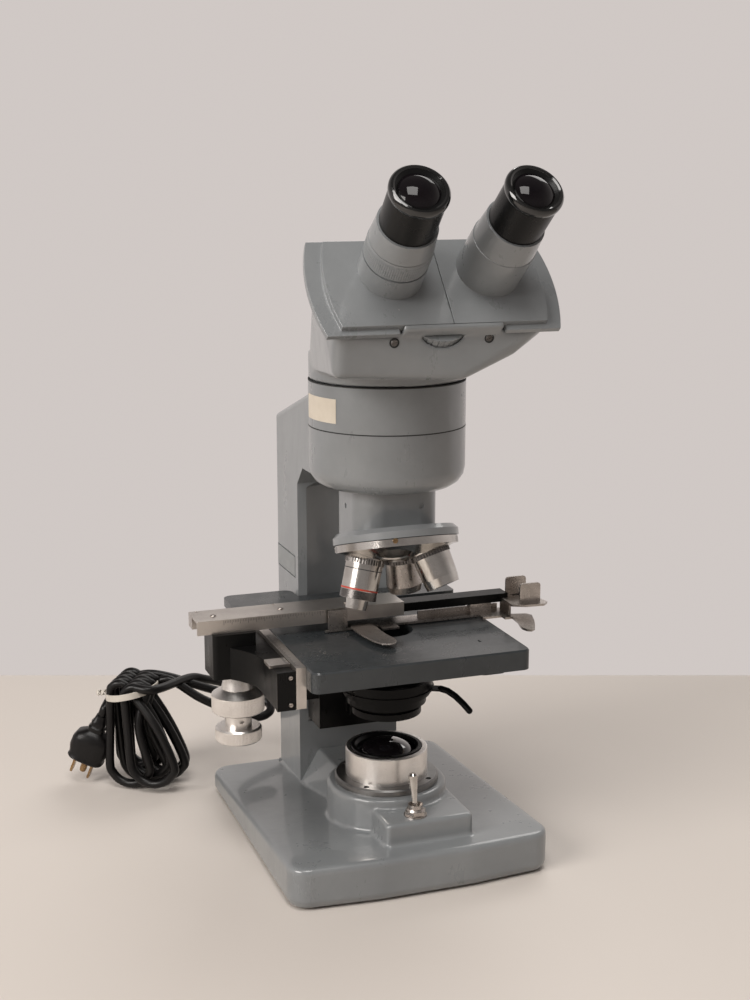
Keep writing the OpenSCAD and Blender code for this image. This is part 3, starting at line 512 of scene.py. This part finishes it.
# below 1 the sections are squarer than an ellipse
PLUG_POWER = 0.62
PLUG_FACE = 34
# a blade's place from the plug's middle, sideways and through the thickness, and half its thickness
BLADE_SIDE = 6.3
BLADE_DEEP = 1.8
BLADE_HALF = 0.75
BLADE_OUTLINE = ((-3.1, 0), (-3.1, 10), (-2.0, 12), (2.0, 12), (3.1, 10), (3.1, 0))
EARTH_DEEP = -5.2
EARTH_PIN = [(2.35, 0), (2.35, 11), (1.9, 12.8), (0.6, 13.6), (0.02, 13.7)]


def plug_point(across, deep, along):
    return at(*(PLUG_TOP + PLUG_ACROSS * across + PLUG_DEEP * deep + PLUG_AXIS * along))


def make_plug_body():
    """The moulded body: ribbed neck, shouldered grip and a rim round its face."""
    shape = bmesh.new()
    rings = []
    steps = 32
    for along, wide, thick in PLUG_SECTIONS:
        ring = []
        for i in range(steps):
            angle = 2 * math.pi * i / steps
            ca, sa = math.cos(angle), math.sin(angle)
            across = wide * math.copysign(abs(ca) ** PLUG_POWER, ca)
            deep = thick * math.copysign(abs(sa) ** PLUG_POWER, sa)
            ring.append(shape.verts.new(plug_point(across, deep, along)))
        rings.append(ring)
    for low, high in zip(rings, rings[1:]):
        skin(shape, low, high)
    shape.faces.new(rings[0])
    shape.faces.new(rings[-1])
    mesh = mesh_from(shape, "plug_body")
    shade(mesh, 40)
    return link("plug_body", mesh, RUBBER, "stand")


def make_plug_blades():
    """Two flat blades with rounded ends, in one mesh."""
    shape = bmesh.new()
    count = len(BLADE_OUTLINE)
    for side in (-BLADE_SIDE, BLADE_SIDE):
        low, high = ([shape.verts.new(plug_point(side + half, deep + BLADE_DEEP, PLUG_FACE + along))
                      for deep, along in BLADE_OUTLINE] for half in (-BLADE_HALF, BLADE_HALF))
        shape.faces.new(low)
        shape.faces.new(list(reversed(high)))
        for i in range(count):
            j = (i + 1) % count
            shape.faces.new((low[j], low[i], high[i], high[j]))
    return link("plug_blades", mesh_from(shape, "plug_blades"), BRASS, "stand")


def make_plug():
    """A moulded three-pin plug: its body, two flat blades and a round pin."""
    body = make_plug_body()
    blades = make_plug_blades()
    pin = lathe("plug_earth_pin", EARTH_PIN, plug_point(0, EARTH_DEEP, PLUG_FACE), PLUG_AXIS, BRASS,
                "stand", 24)
    return body, blades, pin


# the tie's middle on the bundle, its reach along and across it, its width and its paper's thickness
TIE_U, TIE_V = -15, 66
TIE_ALONG, TIE_ACROSS = 16.5, 21
TIE_HALF_WIDTH = 2.2
TIE_THICK = 1.0
# where the twisted tail starts on the bundle, how far it goes and how far it turns, in radians
TAIL_START = Vector((-31, 63, -2))
TAIL_REACH = Vector((-12, -3, -4))
TAIL_STEPS = 14
TAIL_TWIST = 9


def make_tie_ring():
    """The band round the neck of the bundle, a little askew."""
    shape = bmesh.new()
    steps = 40
    loops = []
    for offset in (0.0, TIE_THICK):
        for edge in (-TIE_HALF_WIDTH, TIE_HALF_WIDTH):
            ring = []
            for i in range(steps):
                angle = 2 * math.pi * i / steps
                u = TIE_U + (TIE_ALONG + offset) * math.cos(angle)
                t = (TIE_ACROSS + offset) * math.sin(angle)
                v = TIE_V + edge + 1.5 * math.sin(angle) + 3.5 * math.cos(angle)
                ring.append(shape.verts.new(hank(u, v, t)))
            loops.append(ring)
    order = (loops[0], loops[1], loops[3], loops[2])
    for k in range(4):
        skin(shape, order[k], order[(k + 1) % 4])
    mesh = mesh_from(shape, "twist_tie")
    shade(mesh)
    return link("twist_tie", mesh, TIE, "stand")


def make_tie_tail():
    """The two ends of the band, twisted round each other."""
    shape = bmesh.new()
    for sense in (0, math.pi):
        rows = []
        for k in range(TAIL_STEPS + 1):
            along = k / TAIL_STEPS
            middle = hank(*(TAIL_START + TAIL_REACH * along))
            angle = sense + along * TAIL_TWIST
            swing = Vector((0, math.cos(angle), math.sin(angle))) * 1.2 * MM
            flat = Vector((0, -math.sin(angle), math.cos(angle))) * 1.6 * MM
            rows.append([shape.verts.new(middle + swing + s * flat + w * Vector((0.2, 0, 0)) * MM)
                         for s, w in ((-1, -1), (1, -1), (1, 1), (-1, 1))])
        for low, high in zip(rows, rows[1:]):
            skin(shape, low, high)
        shape.faces.new(rows[0])
        shape.faces.new(rows[-1])
    mesh = mesh_from(shape, "twist_tie_tail")
    shade(mesh)
    return link("twist_tie_tail", mesh, TIE, "stand")


cord = make_cord()
plug_parts = make_plug()
tie_parts = (make_tie_ring(), make_tie_tail())
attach(cord, "stand")
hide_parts("cord_lead", "cord_hank")
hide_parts("cord_plug")

# ---------------------------------------------------------------- castings and machined parts
cast("base_casting", 1.1, 3)
cast("head_casting", 1.2, 4)
for part, width in (("arm_column", 0.9), ("arm_cover", 0.7), ("nosepiece_block", 0.5), ("stage_plate", 0.7),
                    ("x_rail", 0.25), ("y_guide", 0.25), ("y_block", 0.5), ("y_end_cap", 0.6),
                    ("x_bar", 0.4), ("left_plate", 0.7), ("right_plate", 0.7), ("slide_holder", 0.2),
                    ("spring_finger", 0.3),
                    ("stage_bracket", 0.6), ("stage_pad", 0.6), ("y_vernier", 0.2)):
    softened(part, width)
for thing in nodes.values():
    shade(thing.data, 30)

# ---------------------------------------------------------------- eyepieces
SPLAY = math.radians(2.7)
LEAN = math.radians(49.5)
# half the distance between the eyepieces, and how far they are from the slide plates
HALF_IPD = 31.0
EYE_REACH = 70
# where the eyetubes' axes meet the plates: sideways, towards the user and up
EYE_FOOT = HALF_IPD - EYE_REACH * math.sin(SPLAY)
PLATE_Y = -78
PLATE_Z = 361


def eye_axis(side):
    """The direction of one eyetube, from its plate to the eye."""
    forward = math.cos(SPLAY)
    return Vector((side * math.sin(SPLAY), -math.sin(LEAN) * forward, math.cos(LEAN) * forward))


RIM = [(12.3, 66.0), (15.4, 65.6), (15.75, 66.3), (15.85, 68.1), (15.5, 69.3), (14.7, 70.1), (13.7, 70.3),
       (12.8, 69.8), (12.3, 68.9), (12.3, 66.0)]
EYE_LENS = [(12.6, 65.5), (12.5, 66.4), (11.4, 67.9), (9.6, 69.5), (7.2, 70.8), (4.4, 71.7), (1.8, 72.1),
            (0.02, 72.1)]
for side, label in ((-1, "left"), (1, "right")):
    root = at(side * EYE_FOOT, PLATE_Y, PLATE_Z)
    axis = eye_axis(side)
    lathe(label + "_eye_rim", RIM, root, axis, GLOSS, label + "_ocular", 96)
    lathe(label + "_eye_lens", EYE_LENS, root, axis, EYE, label + "_ocular", 96)
DIOPTER_GRIP = [(16.8, 19.4), (17.75, 19.4), (17.75, 27.6), (16.8, 27.6), (16.8, 19.4)]
lathe("diopter_grip", DIOPTER_GRIP, at(-EYE_FOOT, PLATE_Y, PLATE_Z), eye_axis(-1), GREY, "diopter",
      teeth=90, bite=0.22)

# the bulging glass in the lamp's black ring
dome = [(16.2, 63.5), (16.0, 65.4), (14.6, 66.9), (12.4, 68.3), (9.6, 69.5), (6.4, 70.4), (3.0, 70.9),
        (0.02, 71.0)]
lathe("field_glass", dome, at(0, 0, 0), UP, DOME, "stand", 96)

# ---------------------------------------------------------------- turret and objectives
TURRET_LEAN = math.radians(16.5)
APEX = 255.3
TURRET_AXIS = Vector((0, math.sin(TURRET_LEAN), math.cos(TURRET_LEAN)))


def station_axis(degrees):
    """The direction from an objective's tip to its thread, at one place of the turret."""
    down = Vector((0, 0, -1))
    lean = Matrix.Rotation(-TURRET_LEAN, 3, "X")
    return -(lean @ (Matrix.Rotation(math.radians(-degrees), 3, "Z") @ (lean @ down)))


apex = at(0, 0, APEX)
lathe("turret_grip", collar(36.65, -60.5, -57.0), apex, TURRET_AXIS, NICKEL, "turret",
      teeth=180, bite=0.16)
# painted shade: a dark band in the gap between the turret grip and the nosepiece
lathe("turret_gap_shade", collar(36.1, -56.62, -56.0, 2.0), apex, TURRET_AXIS, SEAM_SHADE, "nosepiece",
      96)
# the empty place's turn, and how far each thread's shoulder is from the apex
EMPTY = 26
SHOULDER = 67.3
# rings of an objective: radius, two heights from its shoulder, material and teeth
GRIP = ((11.9, -3.4, -0.4, DARK_STEEL, 44),)
HIGH_RINGS = ((12.0, -3.7, -0.3, DARK_STEEL, 44), (11.35, -7.4, -6.9, INK, 0), (10.75, -19.5, -18.9, INK, 0),
              (11.05, -24.8, -20.0, DARK_STEEL, 0))
for turn, label, rings in ((90, "high", HIGH_RINGS), (180, "mid", GRIP), (270, "low", GRIP)):
    up = station_axis(EMPTY + turn)
    seat = apex - up * SHOULDER * MM
    for k, (radius, low, high, material, teeth) in enumerate(rings):
        lathe("objective_%s_ring_%d" % (label, k), collar(radius, low, high, 0.9), seat, up, material,
              "turret", teeth=teeth, bite=0.3)

# the stage's two stacked knobs
KNOB_FOOT = at(-90, 16, 0)
for label, radius, low, high, count in (("y", 16.05, 96.9, 105.9, 110), ("x", 14.25, 78.5, 84.5, 100)):
    lathe(label + "_knob_grip", collar(radius, low, high), KNOB_FOOT, UP, TURNED, label + "_drive",
          teeth=count, bite=0.18)

# ---------------------------------------------------------------- painted seam shade, screws and scales
RING_R = 46.6
# painted shade: a dark band just proud of the ring in each seam groove
for height, label in ((269.3, "lower"), (296.1, "upper")):
    lathe("ring_seam_shade_" + label, collar(RING_R + 0.04, -0.35, 0.35), at(0, 0, height), UP, SEAM_SHADE, "stand",
          128)

STAGE_TOP = 141.8
lines = []
for k in range(61):
    long = 3.4 if k % 10 == 0 else 2.6 if k % 5 == 0 else 1.8
    lines.append(((-73.4, -48 + k, STAGE_TOP - 0.1), (-73.4 + long, -47.75 + k, STAGE_TOP + 0.03)))
marks("stage_scale", lines, INK, "stand")
lines = [((-76.4, -41.6 + 1.1 * k, 141.3), (-74.2 - 0.8 * (k % 5 > 0), -41.35 + 1.1 * k, 141.44))
         for k in range(11)]
marks("vernier_scale", lines, INK, "y_carriage")
lines = [((-100 + k, 6.97, 153.9 - 1.2 * (k % 5 == 0)), (-99.8 + k, 7.05, 155.4)) for k in range(71)]
marks("rail_scale", lines, INK, "y_carriage")
for k, (x, y) in enumerate(((-104, 17), (-62, 18), (-20, 17))):
    screw("rail_screw_%d" % k, at(x, y, 155.95), UP, 1.9, STEEL, "y_carriage",
          turn=35 + 50 * k)
for z in (120.5, 136.5):
    screw("end_cap_screw_%d" % z, at(-76.8, -52.6, z), (0, -1, 0), 1.35, STEEL, "y_carriage",
          turn=15, height=0.9)
for x, z, label in ((-32, 327.9, "left"), (21.5, 328.6, "right")):
    screw("head_screw_" + label, at(x, -98, z), (0, -0.99, -0.14), 1.9, DARK_STEEL, body_of["head_casting"],
          turn=25, height=0.5)
    # painted shade: a dark ring round each screw head, in its recess
    lathe("head_screw_seat_shade_" + label, collar(2.7, -0.3, 0.3, 0.7), at(x, -98, z), (0, -0.99, -0.14), SEAM_SHADE,
          body_of["head_casting"], 32)
toward = Vector((-0.337, -0.941, 0))
for spin, label, material, size in ((0, "front", BRASS, 1.6), (100, "right", DARK_STEEL, 1.1),
                                    (-98, "left", DARK_STEEL, 1.1)):
    out = Matrix.Rotation(math.radians(spin), 3, "Z") @ toward
    out = (out - TURRET_AXIS * out.dot(TURRET_AXIS)).normalized()
    screw("turret_screw_" + label, apex - TURRET_AXIS * 57.6 * MM + out * 36.5 * MM, out, size, material,
          "turret", height=0.8)

# ---------------------------------------------------------------- stage, floor and light
# from the camera's foot to the far edge of the table, and half the table's width, in metres
FLOOR_REACH = 1.206
FLOOR_HALF = 7
FLOOR_TONE = (0.62, 0.57, 0.525)
WALL_TONE = (0.63, 0.58, 0.558)


def make_floor():
    """A pale table top whose far edge stands behind the object, seen level."""
    heading = Vector((math.sin(math.radians(YAW)), math.cos(math.radians(YAW)), 0))
    across = Vector((heading.y, -heading.x, 0))
    foot = Vector((camera.location.x, camera.location.y, 0))
    shape = bmesh.new()
    ends = ((-FLOOR_HALF, -FLOOR_HALF), (FLOOR_HALF, -FLOOR_HALF), (FLOOR_HALF, FLOOR_REACH),
            (-FLOOR_HALF, FLOOR_REACH))
    corners = [foot + across * x + heading * y for x, y in ends]
    shape.faces.new([shape.verts.new(corner) for corner in corners])
    bmesh.ops.subdivide_edges(shape, edges=shape.edges, cuts=6, use_grid_fill=True)
    mesh = bpy.data.meshes.new("floor")
    shape.to_mesh(mesh)
    shape.free()
    floor = bpy.data.objects.new("floor", mesh)
    bpy.context.scene.collection.objects.link(floor)
    material, tree, shader = new_material("floor_paper")
    cloud = noise(tree, coordinates(tree), 3, 3, 0.5)
    tree.links.new(ramp(tree, cloud, (0.3, FLOOR_TONE), (0.7, [c * 1.04 for c in FLOOR_TONE])),
                   shader.inputs["Base Color"])
    shader.inputs["Roughness"].default_value = 0.6
    mesh.materials.append(material)


def area_light(name, place, target, size, power, colour):
    data = bpy.data.lights.new(name, "AREA")
    data.shape = "RECTANGLE"
    data.size, data.size_y = size
    data.energy = power
    data.color = colour
    light = bpy.data.objects.new(name, data)
    bpy.context.scene.collection.objects.link(light)
    light.location = place
    light.rotation_euler = (Vector(target) - Vector(place)).to_track_quat("-Z", "Y").to_euler()


def make_world():
    """A pale room, darker overhead and on the user's side, so that metal has something to show."""
    world = bpy.data.worlds.new("studio")
    world.use_nodes = True
    tree = world.node_tree
    where = tree.nodes.new("ShaderNodeTexCoord").outputs["Generated"]
    parts = tree.nodes.new("ShaderNodeSeparateXYZ")
    tree.links.new(where, parts.inputs[0])
    height = ramp(tree, parts.outputs["Z"], (0.3, WALL_TONE), (0.75, [c * 0.3 for c in WALL_TONE]))
    side = spread(tree, parts.outputs["Y"], 0.45, 1.0, -0.75, -0.1)
    shade_side = tree.nodes.new("ShaderNodeVectorMath")
    shade_side.operation = "SCALE"
    tree.links.new(height, shade_side.inputs[0])
    tree.links.new(side, shade_side.inputs["Scale"])
    tree.links.new(shade_side.outputs[0], tree.nodes["Background"].inputs[0])
    bpy.context.scene.world = world


make_floor()
make_world()
area_light("key", (-1.45, -0.55, 0.95), (0, 0, 0.2), (0.9, 0.7), 20, (1.0, 0.96, 0.92))
area_light("top", (-0.4, -0.95, 2.1), (0, 0, 0.2), (1.0, 1.0), 23, (1.0, 0.97, 0.94))
area_light("rim", (0.8, 1.0, 1.4), (0.1, 0.1, 0.1), (1.2, 0.8), 9, (1.0, 0.98, 0.95))
